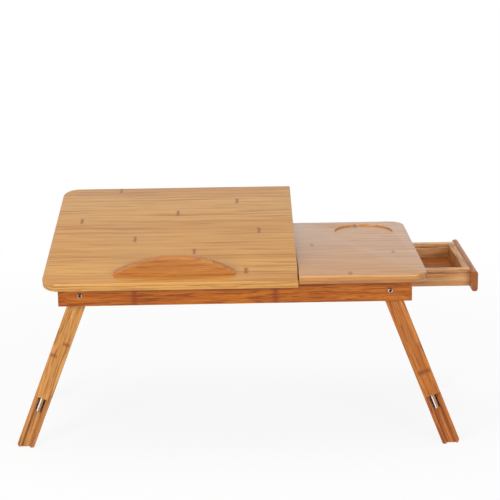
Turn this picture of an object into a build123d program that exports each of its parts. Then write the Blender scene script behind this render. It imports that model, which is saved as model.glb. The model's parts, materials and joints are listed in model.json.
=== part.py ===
"""Folding bamboo laptop stand: tilting panel, fixed panel with cup recess, side drawer and telescopic legs.

Frame: millimetres, +Z up, +X towards the drawer end, front edge at -Y, floor at Z = 0.
"""
import os
from math import atan2, cos, degrees, hypot, radians, sin, sqrt, tan

from build123d import *

os.makedirs("parts", exist_ok=True)

# ---------------------------------------------------------------- driving dimensions
centre_x = -12.0            # the table's middle, so that feet and open drawer are centred on X = 0

top_width = 500.0           # both panels together, along X
top_depth = 300.0
top_thickness = 11.0
tilting_width = 332.0
panel_gap = 1.0             # between the two panels
corner_radius = 22.0
edge_break = 1.2            # broken arrises of the panels

side_overhang = 18.0        # of the panels past the side boards
front_overhang = 25.4       # of the panels past both aprons
frame_height = 32.0
board = 10.0                # aprons and side boards
rail_thickness = 9.5        # the two inner rails
rail_drop = 30.0            # height of the inner rails
finger_count = 5            # box-joint fingers over the frame's height
joint_gap = 0.05            # wood to wood, glued

leg_splay = 21.5            # degrees from upright, legs out
leg_reach = 239.0           # pivot to floor along the leg, pushed together
leg_width = 23.0
pivot_drop = 17.3           # pivot below the panels' underside
leg_side_gap = 0.45         # between a splayed leg and the side board's lower edge
upper_reach = 162.0         # pivot to the lower end of the upper leg
upper_plate = 4.0           # front plate of the upper leg
tongue_depth = 4.6
tongue_width = 13.4         # at its wide face
dovetail = 8.0              # degrees of undercut on tongue and channel
channel_depth = 4.9
web = 3.2                   # behind the channel
slide_gap = 0.15            # between upper and lower leg
lane_gap = 0.2              # beside each leg when folded
lower_top = 22.0            # pivot to the upper end of the lower leg, pushed together
slot_width = 9.4
slot_top = 42.8
slot_bottom = 185.5
leg_travel = 75.0
notch_pitch = 15.0
notch_length = 2.8
notch_depth = 1.3
foot_outer_round = 6.0
foot_inner_round = 2.0

latch_pin_at = 132.0        # pivot to the latch's own pin
latch_pin_radius = 1.1
latch_ears_at = 158.0
latch_end = 181.5
latch_width = 7.7
latch_sheet = 1.2
latch_rise = 3.0            # height of the arched thumb tab
bolt_radius = 3.0
running = 0.05              # radial clearance of a turning fit
bolt_head_radius = 3.7
bolt_head_height = 2.0
bolt_head_bevel = 0.6
bolt_socket_radius = 1.9    # hexagon socket, over its corners

drawer_side_gap = 5.0       # beside the drawer, up to the inner rails
drawer_back_gap = 2.5       # behind the closed drawer, up to the cross rail
drawer_height = 23.5
drawer_wall = 9.5
drawer_back_wall = 8.0
drawer_floor = 2.8          # flush in a rebate along the lower edges
drawer_rebate = 5.0
drawer_top_gap = 3.4        # drawer below the panel's underside
drawer_open = 84.0          # as it stands, pulled out
drawer_travel_out = 30.0    # further, up to the stop
front_panel_overhang = 13.5 # past the drawer's sides
front_panel_height = 27.5
front_panel_thickness = 8.5
runner_groove_height = 2.6
runner_groove_depth = 4.0
runner_lip = 3.6            # wood above the groove
runner_seat = 3.0           # depth of the runners in the inner rails
runner_front_gap = 6.0      # between the runners and the side board
runner_back_gap = 8.5       # between the runners and the cross rail
sliding = 0.3               # drawer and runner clearance

ledge_length = 158.2
ledge_height = 26.5
ledge_arc_radius = 152.0
ledge_thickness = 11.0
ledge_setback = 18.9        # from the panel's front edge
ledge_offset = 5.6          # from the tilting panel's middle, towards the drawer

cup_end_inset = 63.0        # from the panel's end to the recess's middle
cup_back_inset = 59.0       # from the panel's back edge to the recess's middle
cup_radius = 42.0
cup_depth = 2.0

tilt_rest = 12.3            # degrees, as it stands
hinge_length = 40.0
hinge_leaf = 1.2
knuckle_radius = 2.5
hinge_pin_radius = 1.2
leaf_width = 9.0
hinge_end_inset = 42.0      # first hinge from the frame's end
hinge_seam_inset = 58.0     # second hinge from the seam between the panels
leaf_screw_pitch = 24.0

track_end_room = 15.7       # beyond the sliding pin's furthest place, up to the rear inner rail
stay_line_drop = 4.0        # degrees: the track points at the panel hinge
stay_pivot_below = 3.35     # of the stay pivot under the panel hinge, when the panel lies flat
stay_sheet = 1.5
stay_width = 10.0
stay_pin_radius = 2.0
stay_head_radius = 4.0
stay_gap = 0.3
stay_tilt_max = 38.0
bracket_foot = 16.0
track_sheet = 1.5
track_pocket = 4.0          # depth behind the track for the pin's head
track_width = 14.0
track_end = 7.0             # plate beyond the slot's end
knob_radius = 8.0
knob_height = 7.0

rail_tenon = 4.0
cross_rail_thickness = 14.0
cross_rail_seat = 3.0       # depth of its ends in the inner rails
dowel_radius = 3.0
dowel_length = 16.0
screw_radius = 1.2
screw_head_radius = 2.4
stop_thickness = 6.0
stop_width = 40.0
stop_reach = 4.0            # of the stop block behind the drawer's back
barrel_length = 7.0
barrel_flange_radius = 5.5
barrel_flange = 1.5
small_sides = 12            # flats that stand for the round of small pieces and holes

# ---------------------------------------------------------------- derived places
pivot_z = leg_reach * cos(radians(leg_splay))
under_top = pivot_z + pivot_drop
top_z = under_top + top_thickness
frame_bottom = under_top - frame_height
half_depth = top_depth / 2 - front_overhang
half_length = top_width / 2 - side_overhang
pivot_half_span = half_length - board - leg_side_gap - leg_width / 2 / cos(radians(leg_splay)) - (
    frame_height - pivot_drop) * tan(radians(leg_splay))
seam_x = -top_width / 2 + tilting_width
cross_rail_x = seam_x + (panel_gap - cross_rail_thickness) / 2
leg_thickness = upper_plate + slide_gap + channel_depth + web
outer_lane = half_depth - board - lane_gap
inner_lane = outer_lane - leg_thickness - lane_gap
rail_outer = inner_lane - leg_thickness - lane_gap
rail_inner = rail_outer - rail_thickness
hinge_y = -half_depth - knuckle_radius
hinge_z = under_top - knuckle_radius
drawer_top = under_top - drawer_top_gap
drawer_bottom = drawer_top - drawer_height
drawer_front_x = half_length + drawer_open
drawer_back_x = cross_rail_x + cross_rail_thickness + drawer_back_gap + drawer_open
drawer_length = drawer_front_x - drawer_back_x
drawer_width = 2 * (rail_inner - drawer_side_gap)
runner_thickness = runner_groove_height - 2 * sliding
hinge_places = (-half_length + hinge_end_inset, seam_x - hinge_seam_inset)


def level(z, x=0.0, y=0.0):
    """Horizontal plane at height z, measured from the table's middle."""
    return Plane(origin=(centre_x + x, y, z))


def front_view(y, x=0.0, z=0.0):
    """Upright plane seen from the front: sketch X is X and sketch Y is Z; it extrudes towards the front."""
    return Plane(origin=(centre_x + x, y, z), x_dir=(1, 0, 0), z_dir=(0, -1, 0))


def side_view(x, y=0.0, z=0.0):
    """Upright plane seen from the right: sketch X is Y and sketch Y is Z; it extrudes to the right."""
    return Plane(origin=(centre_x + x, y, z), x_dir=(0, 1, 0), z_dir=(1, 0, 0))


def tilted(plane, angle=tilt_rest):
    """The plane of the flat-lying panel, swung up about the panel hinge."""
    axis = Axis((centre_x, hinge_y, hinge_z), (1, 0, 0))
    c, s = cos(radians(angle)), sin(radians(angle))

    def turn(v):
        return Vector(v.X, v.Y * c - v.Z * s, v.Y * s + v.Z * c)

    start = axis.position
    return Plane(origin=start + turn(plane.origin - start), x_dir=turn(plane.x_dir), z_dir=turn(plane.z_dir))


def save(builder, name):
    builder.part.label = name
    export_step(builder.part, f"parts/{name}.step")


def break_rim(face, width):
    """Break the arris all round one flat face."""
    chamfer(face.outer_wire().edges(), width)


def bar(radius, mode=Mode.ADD):
    """Section of a small turned piece, kept to a few flats inside its true circle."""
    RegularPolygon(radius, small_sides, mode=mode)


def bar_hole(radius, mode=Mode.ADD):
    """Section of a small drilled hole, kept to a few flats outside its true circle."""
    RegularPolygon(radius, small_sides, major_radius=False, mode=mode)


# ---------------------------------------------------------------- top panels
panel_dowels = [(x, row * (half_depth - board / 2)) for x in (seam_x + 38, half_length - 32) for row in (-1, 1)]

with BuildPart() as fixed_panel:
    with BuildSketch(level(under_top)) as outline:
        with Locations(((seam_x + panel_gap + top_width / 2) / 2, 0)):
            Rectangle(top_width / 2 - seam_x - panel_gap, top_depth)
        fillet(outline.vertices().sort_by(Axis.X)[-2:], corner_radius)
    extrude(amount=top_thickness)
    break_rim(fixed_panel.faces().sort_by(Axis.Z)[-1], edge_break)
    break_rim(fixed_panel.faces().sort_by(Axis.Z)[0], edge_break)
    with BuildSketch(level(top_z, top_width / 2 - cup_end_inset, top_depth / 2 - cup_back_inset)):
        Circle(cup_radius)
    extrude(amount=-cup_depth, mode=Mode.SUBTRACT)
    with BuildSketch(level(under_top)):
        with Locations(*panel_dowels):
            bar_hole(dowel_radius)
    extrude(amount=dowel_length / 2, mode=Mode.SUBTRACT)
save(fixed_panel, "fixed_panel")

up_tilted = Axis((0, 0, 0), tuple(tilted(level(0)).z_dir))
hinge_screw_places = [(x + end * leaf_screw_pitch / 2, -half_depth + leaf_width / 2 + joint_gap)
                      for x in hinge_places for end in (-1, 1)]
hinge_screw_reach = 8.0
ledge_middle = (seam_x - top_width / 2) / 2 + ledge_offset
ledge_dowels = [ledge_middle - ledge_length / 4, ledge_middle + ledge_length / 4]
ledge_y = -top_depth / 2 + ledge_setback

with BuildPart() as tilting_panel:
    with BuildSketch(tilted(level(under_top))) as outline:
        with Locations(((seam_x - top_width / 2) / 2, 0)):
            Rectangle(tilting_width, top_depth)
        fillet(outline.vertices().sort_by(Axis.X)[:2], corner_radius)
    extrude(amount=top_thickness)
    break_rim(tilting_panel.faces().sort_by(up_tilted)[-1], edge_break)
    break_rim(tilting_panel.faces().sort_by(up_tilted)[0], edge_break)
    with BuildSketch(tilted(level(top_z))):
        with Locations(*[(x, ledge_y + ledge_thickness / 2) for x in ledge_dowels]):
            bar_hole(dowel_radius)
    extrude(amount=-dowel_length / 2, mode=Mode.SUBTRACT)
    with BuildSketch(tilted(level(under_top))):
        with Locations(*hinge_screw_places):
            bar_hole(screw_radius)
    extrude(amount=hinge_screw_reach, mode=Mode.SUBTRACT)
save(tilting_panel, "tilting_panel")

with BuildPart() as ledge:
    end_height = ledge_height - ledge_arc_radius + sqrt(ledge_arc_radius**2 - (ledge_length / 2) ** 2)
    with BuildSketch(tilted(front_view(ledge_y, ledge_middle, top_z))):
        with BuildLine():
            left, right = -ledge_length / 2, ledge_length / 2
            Polyline((left, end_height), (left, 0), (right, 0), (right, end_height))
            ThreePointArc((right, end_height), (0, ledge_height), (left, end_height))
        make_face()
    extrude(amount=-ledge_thickness)
    chamfer(ledge.edges().filter_by(GeomType.CIRCLE), edge_break)
    with BuildSketch(tilted(level(top_z))):
        with Locations(*[(x, ledge_y + ledge_thickness / 2) for x in ledge_dowels]):
            bar_hole(dowel_radius)
    extrude(amount=dowel_length / 2, mode=Mode.SUBTRACT)
save(ledge, "stop_ledge")

with BuildPart() as ledge_pins:
    with BuildSketch(tilted(level(top_z - dowel_length / 2))):
        with Locations(*[(x, ledge_y + ledge_thickness / 2) for x in ledge_dowels]):
            bar(dowel_radius)
    extrude(amount=dowel_length)
save(ledge_pins, "ledge_dowels")

# ---------------------------------------------------------------- frame
finger = frame_height / finger_count
apron_rows = [0, 2, 4]
side_rows = [1, 3]


def finger_notches(half_width, rows):
    """Cut these rows of box-joint fingers out of both ends of a board's outline."""
    places = [(end * (half_width - board / 2), finger * (row + 0.5)) for end in (-1, 1) for row in rows]
    with Locations(*places):
        Rectangle(board + joint_gap, finger + joint_gap, mode=Mode.SUBTRACT)


def leg_side_lane(side):
    """Outer face of this side's legs: the right pair folds outside the left pair."""
    return outer_lane if side > 0 else inner_lane


for row, name in ((-1, "front_apron"), (1, "rear_apron")):
    inward = -row
    with BuildPart() as apron:
        with BuildSketch(front_view(row * half_depth, z=frame_bottom)):
            with Locations((0, frame_height / 2)):
                Rectangle(2 * half_length, frame_height)
            finger_notches(half_length, side_rows)
            with Locations(*[(s * pivot_half_span, pivot_z - frame_bottom) for s in (-1, 1)]):
                bar_hole(bolt_radius, mode=Mode.SUBTRACT)
        extrude(amount=-inward * board)
        chamfer(apron.edges().filter_by(Axis.X).group_by(Axis.Z)[0], 0.8)
        with BuildSketch(level(under_top)):
            with Locations(*[p for p in panel_dowels if p[1] * row > 0]):
                bar_hole(dowel_radius)
        extrude(amount=-dowel_length / 2, mode=Mode.SUBTRACT)
        if row < 0:
            with BuildSketch(level(under_top)):
                with Locations(*[(x, -half_depth + leaf_width / 2) for x in hinge_places]):
                    Rectangle(hinge_length + 2 * sliding, leaf_width + 2 * joint_gap)
            extrude(amount=-2 * knuckle_radius, mode=Mode.SUBTRACT)
            with BuildSketch(level(under_top - 2 * knuckle_radius)):
                with Locations(*hinge_screw_places):
                    bar_hole(screw_radius)
            extrude(amount=-hinge_screw_reach, mode=Mode.SUBTRACT)
    save(apron, name)

rail_middle = (rail_outer + rail_inner) / 2
tenon_height = rail_drop - 12
drawer_mouth = drawer_width / 2 + 2 * sliding


def track_line(distance):
    """A point on the sliding pin's straight track, this far from the panel hinge, as (Y, Z)."""
    slope = radians(stay_line_drop)
    return hinge_y + distance * cos(slope), hinge_z - distance * sin(slope)


def pin_distance(tilt):
    """Panel hinge to sliding pin: the stay and its panel side make an isosceles triangle."""
    return 2 * stay_arm * cos(radians(tilt + stay_line_drop) - stay_pivot_drop)


far = (rail_inner - hinge_y) / cos(radians(stay_line_drop)) - track_end_room
stay_run = far / 2 / cos(radians(stay_line_drop)) - stay_pivot_below * tan(radians(stay_line_drop))
stay_arm = hypot(stay_run, stay_pivot_below)
stay_pivot_drop = atan2(stay_pivot_below, stay_run)
near = pin_distance(stay_tilt_max)
track_middle = track_line((near + far) / 2)
track_length = far - near
track_side = {-1: -half_length + board, 1: cross_rail_x}
track_screws = [(near + far) / 2 + end * (track_length / 2 + track_end) for end in (-1, 1)]
track_screw_reach = 5.0


def cut_track_pocket(side):
    """Room behind the track for the sliding pin's head, and holes for the track's screws."""
    with BuildSketch(side_view(track_side[side])) as pocket:
        with Locations(track_middle):
            Rectangle(track_length + 2 * stay_head_radius + 1, 2 * stay_head_radius + 1, rotation=-stay_line_drop)
    extrude(pocket.sketch, amount=side * track_pocket, mode=Mode.SUBTRACT)
    with BuildSketch(side_view(track_side[side])) as screw_holes:
        with Locations(*[track_line(d) for d in track_screws]):
            bar_hole(screw_radius)
    extrude(screw_holes.sketch, amount=side * track_screw_reach, mode=Mode.SUBTRACT)


for side, name in ((-1, "left_side_board"), (1, "right_side_board")):
    with BuildPart() as side_board:
        with BuildSketch(side_view(side * half_length, z=frame_bottom)):
            with Locations((0, frame_height / 2)):
                Rectangle(2 * half_depth, frame_height)
            finger_notches(half_depth, apron_rows)
            if side > 0:
                sill = drawer_bottom - sliding - frame_bottom
                with Locations((0, (sill + frame_height) / 2)):
                    Rectangle(2 * drawer_mouth, frame_height - sill, mode=Mode.SUBTRACT)
        extrude(amount=-side * board)
        with BuildSketch(side_view(side * (half_length - board))):
            with Locations(*[(row * rail_middle, under_top - rail_drop / 2) for row in (-1, 1)]):
                Rectangle(rail_thickness, tenon_height)
        extrude(amount=side * rail_tenon, mode=Mode.SUBTRACT)
        if side < 0:
            cut_track_pocket(side)
    save(side_board, name)

runner_z = drawer_top - runner_lip - runner_groove_height / 2
runner_back_x = cross_rail_x + cross_rail_thickness + runner_back_gap
runner_length = half_length - board - runner_front_gap - runner_back_x
runner_middle = runner_back_x + runner_length / 2

for row, name in ((-1, "front_inner_rail"), (1, "rear_inner_rail")):
    with BuildPart() as rail:
        with BuildSketch(side_view(-half_length + board)):
            with Locations((row * rail_middle, under_top - rail_drop / 2)):
                Rectangle(rail_thickness, rail_drop)
        extrude(amount=2 * (half_length - board))
        for side in (-1, 1):
            with BuildSketch(side_view(side * (half_length - board))):
                with Locations((row * rail_middle, under_top - rail_drop / 2)):
                    Rectangle(rail_thickness, tenon_height)
            extrude(amount=side * rail_tenon)
        with BuildSketch(front_view(row * rail_inner)):
            with Locations(*[(s * pivot_half_span, pivot_z) for s in (-1, 1)]):
                bar_hole(bolt_radius + 1)
        extrude(amount=-row * rail_thickness, mode=Mode.SUBTRACT)
        with BuildSketch(front_view(row * rail_inner)):
            with Locations((seam_x + panel_gap / 2, under_top - rail_drop / 2)):
                Rectangle(cross_rail_thickness, rail_drop)
        extrude(amount=-row * cross_rail_seat, mode=Mode.SUBTRACT)
        with BuildSketch(front_view(row * rail_inner)):
            with Locations((runner_middle, runner_z)):
                Rectangle(runner_length, runner_thickness)
        extrude(amount=-row * runner_seat, mode=Mode.SUBTRACT)
    save(rail, name)

with BuildPart() as cross_rail:
    with BuildSketch(side_view(cross_rail_x)):
        with Locations((0, under_top - rail_drop / 2)):
            Rectangle(2 * (rail_inner + cross_rail_seat), rail_drop)
    extrude(amount=cross_rail_thickness)
    cut_track_pocket(1)
save(cross_rail, "cross_rail")

with BuildPart() as panel_pegs:
    with BuildSketch(level(under_top - dowel_length / 2)):
        with Locations(*panel_dowels):
            bar(dowel_radius)
    extrude(amount=dowel_length)
save(panel_pegs, "panel_dowels")

# ---------------------------------------------------------------- panel hinges
leaf_root = hinge_y + knuckle_radius * 0.4
knuckle_length = hinge_length / 3

for number, place in enumerate(hinge_places, start=1):
    for leaf, plane_of, z, knuckles in (
        ("panel", tilted, hinge_z + knuckle_radius - hinge_leaf, (0,)),
        ("frame", lambda plane: plane, hinge_z - knuckle_radius, (-1, 1)),
    ):
        with BuildPart() as hinge:
            with BuildSketch(plane_of(level(z, place))):
                with Locations((0, -half_depth + (leaf_width + 0.4) / 2)):
                    Rectangle(hinge_length, leaf_width - 0.4)
                for k in knuckles:
                    with Locations((k * knuckle_length, (leaf_root - half_depth + 1) / 2)):
                        Rectangle(knuckle_length - 0.3, -half_depth + 1 - leaf_root)
            extrude(amount=hinge_leaf)
            for k in knuckles:
                start = place + k * knuckle_length - (knuckle_length - 0.3) / 2
                with BuildSketch(plane_of(side_view(start, hinge_y, hinge_z))):
                    bar(knuckle_radius)
                extrude(amount=knuckle_length - 0.3)
            with BuildSketch(plane_of(side_view(place - hinge_length / 2, hinge_y, hinge_z))):
                bar_hole(hinge_pin_radius + (running if leaf == "panel" else 0))
            extrude(amount=hinge_length, mode=Mode.SUBTRACT)
            with BuildSketch(plane_of(level(z, place))):
                with Locations(*[(end * leaf_screw_pitch / 2, hinge_screw_places[0][1]) for end in (-1, 1)]):
                    bar_hole(screw_radius + 0.2)
            extrude(amount=hinge_leaf, mode=Mode.SUBTRACT)
        save(hinge, f"hinge_{number}_{leaf}_leaf")

with BuildPart() as hinge_pins:
    for place in hinge_places:
        with BuildSketch(side_view(place - hinge_length / 2, hinge_y, hinge_z)):
            bar(hinge_pin_radius)
        extrude(amount=hinge_length)
save(hinge_pins, "hinge_pins")


def flat_head_screws(name, plane, places, length, up=1):
    """Small flat-head screws: the head lies on the plane, the shank runs up or down from it."""
    with BuildPart() as screws:
        with BuildSketch(plane):
            with Locations(*places):
                bar(screw_radius)
        extrude(amount=up * length)
        with BuildSketch(plane):
            with Locations(*places):
                bar(screw_head_radius)
        extrude(amount=-up * 0.8)
    save(screws, name)


flat_head_screws("hinge_panel_screws", tilted(level(under_top - hinge_leaf)), hinge_screw_places,
                 hinge_leaf + hinge_screw_reach)
flat_head_screws("hinge_frame_screws", level(under_top - 2 * knuckle_radius + hinge_leaf), hinge_screw_places,
                 hinge_leaf + hinge_screw_reach, up=-1)

# ---------------------------------------------------------------- friction stays of the tilting panel
pivot_angle = radians(tilt_rest) - stay_pivot_drop
stay_pivot = (hinge_y + stay_arm * cos(pivot_angle), hinge_z + stay_arm * sin(pivot_angle))
stay_pin = track_line(pin_distance(tilt_rest))
stay_slope = -degrees(pivot_angle) - 2 * stay_line_drop
bracket_drop = stay_pivot_below + knuckle_radius
bracket_y = hinge_y + stay_run

for side, name in ((-1, "left"), (1, "right")):
    face = track_side[side]
    inward = -side
    arm_x = face + inward * (track_sheet + stay_gap)
    ear_x = arm_x + inward * (stay_sheet + stay_gap)
    with BuildPart() as track:
        with BuildSketch(side_view(face)) as plate:
            with Locations(track_middle):
                Rectangle(track_length + 4 * track_end, track_width, rotation=-stay_line_drop)
            chamfer(plate.vertices(), track_end / 2)
            with Locations(track_middle):
                SlotCenterToCenter(track_length, 2 * (stay_pin_radius + 0.1), rotation=-stay_line_drop,
                                   mode=Mode.SUBTRACT)
            with Locations(*[track_line(d) for d in track_screws]):
                bar_hole(screw_radius, mode=Mode.SUBTRACT)
        extrude(amount=inward * track_sheet)
    save(track, f"{name}_stay_track")

    with BuildPart() as arm:
        with BuildSketch(side_view(arm_x)) as strip:
            with Locations(((stay_pivot[0] + stay_pin[0]) / 2, (stay_pivot[1] + stay_pin[1]) / 2)):
                Rectangle(stay_arm + stay_width, stay_width, rotation=stay_slope)
            chamfer(strip.vertices(), stay_width * 0.29)
            with Locations(stay_pivot):
                bar_hole(stay_pin_radius + running, mode=Mode.SUBTRACT)
            with Locations(stay_pin):
                bar_hole(stay_pin_radius, mode=Mode.SUBTRACT)
        extrude(amount=inward * stay_sheet)
    save(arm, f"{name}_stay_arm")

    with BuildPart() as knob:
        knob_x = arm_x + inward * stay_sheet
        with BuildSketch(side_view(knob_x, *stay_pin)):
            RegularPolygon(knob_radius, 10)
        extrude(amount=inward * knob_height)
        with BuildSketch(side_view(knob_x, *stay_pin)):
            bar(stay_pin_radius)
        shank = stay_sheet + stay_gap + track_sheet + 1.6
        extrude(amount=side * shank)
        with BuildSketch(side_view(knob_x + side * shank, *stay_pin)):
            bar(stay_head_radius)
        extrude(amount=side * 1.5)
    save(knob, f"{name}_stay_knob")

    with BuildPart() as bracket:
        with BuildSketch(tilted(side_view(ear_x, bracket_y, under_top))):
            with Locations((0, -bracket_drop)):
                bar(stay_width / 2)
            with Locations((0, -bracket_drop / 2)):
                Rectangle(stay_width, bracket_drop)
            with Locations((0, -bracket_drop)):
                bar_hole(stay_pin_radius, mode=Mode.SUBTRACT)
        extrude(amount=inward * stay_sheet)
        with BuildSketch(tilted(level(under_top, ear_x + inward * bracket_foot / 2, bracket_y))) as foot:
            Rectangle(bracket_foot, 2 * stay_width)
            chamfer(foot.vertices(), 2)
            with Locations((inward * 3, stay_width / 2), (inward * 3, -stay_width / 2)):
                bar_hole(screw_radius + 0.2, mode=Mode.SUBTRACT)
        extrude(amount=-stay_sheet)
    save(bracket, f"{name}_stay_bracket")

with BuildPart() as rivets:
    for side in (-1, 1):
        inward = -side
        arm_x = track_side[side] + inward * (track_sheet + stay_gap)
        with BuildSketch(side_view(arm_x, *stay_pivot)):
            bar(stay_pin_radius)
        extrude(amount=inward * (2 * stay_sheet + stay_gap))
        with BuildSketch(side_view(arm_x + inward * (2 * stay_sheet + stay_gap), *stay_pivot)):
            bar(stay_pin_radius + 1.4)
        extrude(amount=inward * 1.2)
save(rivets, "stay_rivets")

with BuildPart() as track_screw_group:
    for side in (-1, 1):
        places = [track_line(d) for d in track_screws]
        with BuildSketch(side_view(track_side[side] - side * track_sheet)):
            with Locations(*places):
                bar(screw_radius)
        extrude(amount=side * (track_sheet + track_screw_reach))
save(track_screw_group, "track_screws")

# ---------------------------------------------------------------- drawer
inner_half = drawer_width / 2 - drawer_wall
inner_length = drawer_length - drawer_wall - drawer_back_wall

for row, name in ((-1, "drawer_front_side"), (1, "drawer_rear_side")):
    with BuildPart() as drawer_side:
        with BuildSketch(side_view(drawer_back_x)):
            with Locations((row * (drawer_width - drawer_wall) / 2, drawer_top - drawer_height / 2)):
                Rectangle(drawer_wall, drawer_height)
            with Locations((row * (drawer_width - runner_groove_depth) / 2, runner_z)):
                Rectangle(runner_groove_depth, runner_groove_height, mode=Mode.SUBTRACT)
            with Locations((row * (inner_half + drawer_rebate / 2), drawer_bottom + drawer_floor / 2)):
                Rectangle(drawer_rebate, drawer_floor, mode=Mode.SUBTRACT)
        extrude(amount=drawer_length)
    save(drawer_side, name)

for name, x, thickness, rebate in (
    ("drawer_box_front", drawer_front_x - drawer_wall, drawer_wall, -1),
    ("drawer_back", drawer_back_x, drawer_back_wall, 1),
):
    with BuildPart() as drawer_end:
        with BuildSketch(side_view(x)):
            with Locations((0, drawer_top - drawer_height / 2)):
                Rectangle(2 * inner_half, drawer_height)
        extrude(amount=thickness)
        inner_x = x if rebate < 0 else x + thickness
        with BuildSketch(level(drawer_bottom, inner_x - rebate * drawer_rebate / 2)):
            Rectangle(drawer_rebate, 2 * inner_half)
        extrude(amount=drawer_floor, mode=Mode.SUBTRACT)
    save(drawer_end, name)

with BuildPart() as drawer_base:
    with BuildSketch(level(drawer_bottom, (drawer_back_x + drawer_back_wall + drawer_front_x - drawer_wall) / 2)):
        Rectangle(inner_length + 2 * drawer_rebate, 2 * (inner_half + drawer_rebate))
    extrude(amount=drawer_floor)
save(drawer_base, "drawer_floor")

with BuildPart() as front_panel:
    with BuildSketch(side_view(drawer_front_x)):
        with Locations((0, drawer_top - front_panel_height / 2)):
            Rectangle(drawer_width + 2 * front_panel_overhang, front_panel_height)
    extrude(amount=front_panel_thickness)
    fillet(front_panel.edges().filter_by(Axis.Y), front_panel_thickness * 0.43)
save(front_panel, "drawer_front_panel")

with BuildPart() as drawer_runners:
    for row in (-1, 1):
        with BuildSketch(front_view(row * (rail_inner + runner_seat), runner_middle, runner_z)):
            Rectangle(runner_length, runner_thickness)
        extrude(amount=row * (runner_seat + drawer_side_gap + runner_groove_depth - sliding))
save(drawer_runners, "drawer_runners")

with BuildPart() as drawer_stop:
    stop_x = drawer_back_x + drawer_back_wall + drawer_travel_out + sliding
    with BuildSketch(level(under_top, stop_x + stop_thickness / 2)):
        Rectangle(stop_thickness, stop_width)
    extrude(amount=-drawer_top_gap - stop_reach)
    chamfer(drawer_stop.faces().sort_by(Axis.Z)[0].edges().filter_by(Axis.Y), edge_break)
save(drawer_stop, "drawer_stop")

# ---------------------------------------------------------------- leg pivots
pivots = [(side, row) for side in (-1, 1) for row in (-1, 1)]
bolt_reach = half_depth - rail_inner - 1

with BuildPart() as leg_bolts:
    for side, row in pivots:
        with BuildSketch(front_view(row * half_depth, side * pivot_half_span, pivot_z)):
            Circle(bolt_head_radius)
            RegularPolygon(bolt_socket_radius, 6, mode=Mode.SUBTRACT)
        extrude(amount=-row * bolt_head_height)
        with BuildSketch(front_view(row * (half_depth + 0.6), side * pivot_half_span, pivot_z)):
            bar(bolt_radius)
        extrude(amount=row * (bolt_reach + 0.6))
    rims = leg_bolts.edges().filter_by(GeomType.CIRCLE).filter_by(
        lambda rim: abs(rim.center().Y) > half_depth + bolt_head_height - joint_gap)
    chamfer(rims, bolt_head_bevel)
save(leg_bolts, "leg_bolts")

with BuildPart() as leg_nuts:
    for side, row in pivots:
        with BuildSketch(front_view(row * rail_inner, side * pivot_half_span, pivot_z)):
            bar(bolt_radius + 1)
        extrude(amount=-row * barrel_length)
        with BuildSketch(front_view(row * rail_inner, side * pivot_half_span, pivot_z)):
            bar(barrel_flange_radius)
        extrude(amount=row * barrel_flange)
        with BuildSketch(front_view(row * rail_inner, side * pivot_half_span, pivot_z)):
            bar_hole(bolt_radius)
        extrude(amount=-row * barrel_length, mode=Mode.SUBTRACT)
        with BuildSketch(front_view(row * rail_inner, side * pivot_half_span, pivot_z)):
            bar_hole(bolt_radius)
        extrude(amount=row * 0.5, mode=Mode.SUBTRACT)
save(leg_nuts, "leg_barrel_nuts")

with BuildPart() as leg_spacers:
    for side, row in pivots:
        outer = half_depth - board if side < 0 else inner_lane + lane_gap / 2
        inner = inner_lane + lane_gap / 2 if side < 0 else rail_outer
        with BuildSketch(front_view(row * outer, side * pivot_half_span, pivot_z)):
            bar(bolt_radius + 3.5)
            bar_hole(bolt_radius, mode=Mode.SUBTRACT)
        extrude(amount=row * (outer - inner))
save(leg_spacers, "leg_spacers")

# ---------------------------------------------------------------- telescopic legs
half_leg = leg_width / 2
splay = radians(leg_splay)


def leg_front(side, row, depth):
    """Plane along the leg, pivot at its origin and Y up the leg, this deep from the leg's outer face."""
    y = row * (leg_side_lane(side) - depth)
    direction = (cos(splay), 0, side * sin(splay))
    return Plane(origin=(centre_x + side * pivot_half_span, y, pivot_z), x_dir=direction, z_dir=(0, -1, 0))


def leg_cut(side, row, reach):
    """Plane square to the leg, this far down from the pivot; sketch Y is the depth times row."""
    front = leg_front(side, row, 0)
    return Plane(origin=front.origin - front.y_dir * reach, x_dir=front.x_dir, z_dir=-front.y_dir)


def leg_section(side, row, across=0.0):
    """Plane through the leg's middle: sketch X is the depth and sketch Y runs up the leg."""
    front = leg_front(side, row, 0)
    inward = Vector(0, -row, 0)
    return Plane(origin=front.origin + front.x_dir * across, x_dir=inward, z_dir=inward.cross(front.y_dir))


def dovetail_outline(row, start, depth, wide):
    """Sketch points of a dovetail that is wide at its inner face."""
    narrow = wide - 2 * depth * tan(radians(dovetail))
    return [(-narrow / 2, row * start), (narrow / 2, row * start),
            (wide / 2, row * (start + depth)), (-wide / 2, row * (start + depth))]


def floor_line(outward):
    """Sketch Y at which the leg meets the floor, this far outward from its middle."""
    return (-pivot_z - outward * sin(splay)) / cos(splay)


channel_start = upper_plate + slide_gap
channel_floor = channel_start + channel_depth
block_end = lower_top - 1.5
tongue_end = latch_pin_at + 4
notches = [latch_ears_at - step * notch_pitch for step in range(int(leg_travel / notch_pitch) + 1)]
latch_rest = 0.1            # the ears' clearance above the channel floor
latch_pin_depth = channel_floor - 2.1

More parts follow.
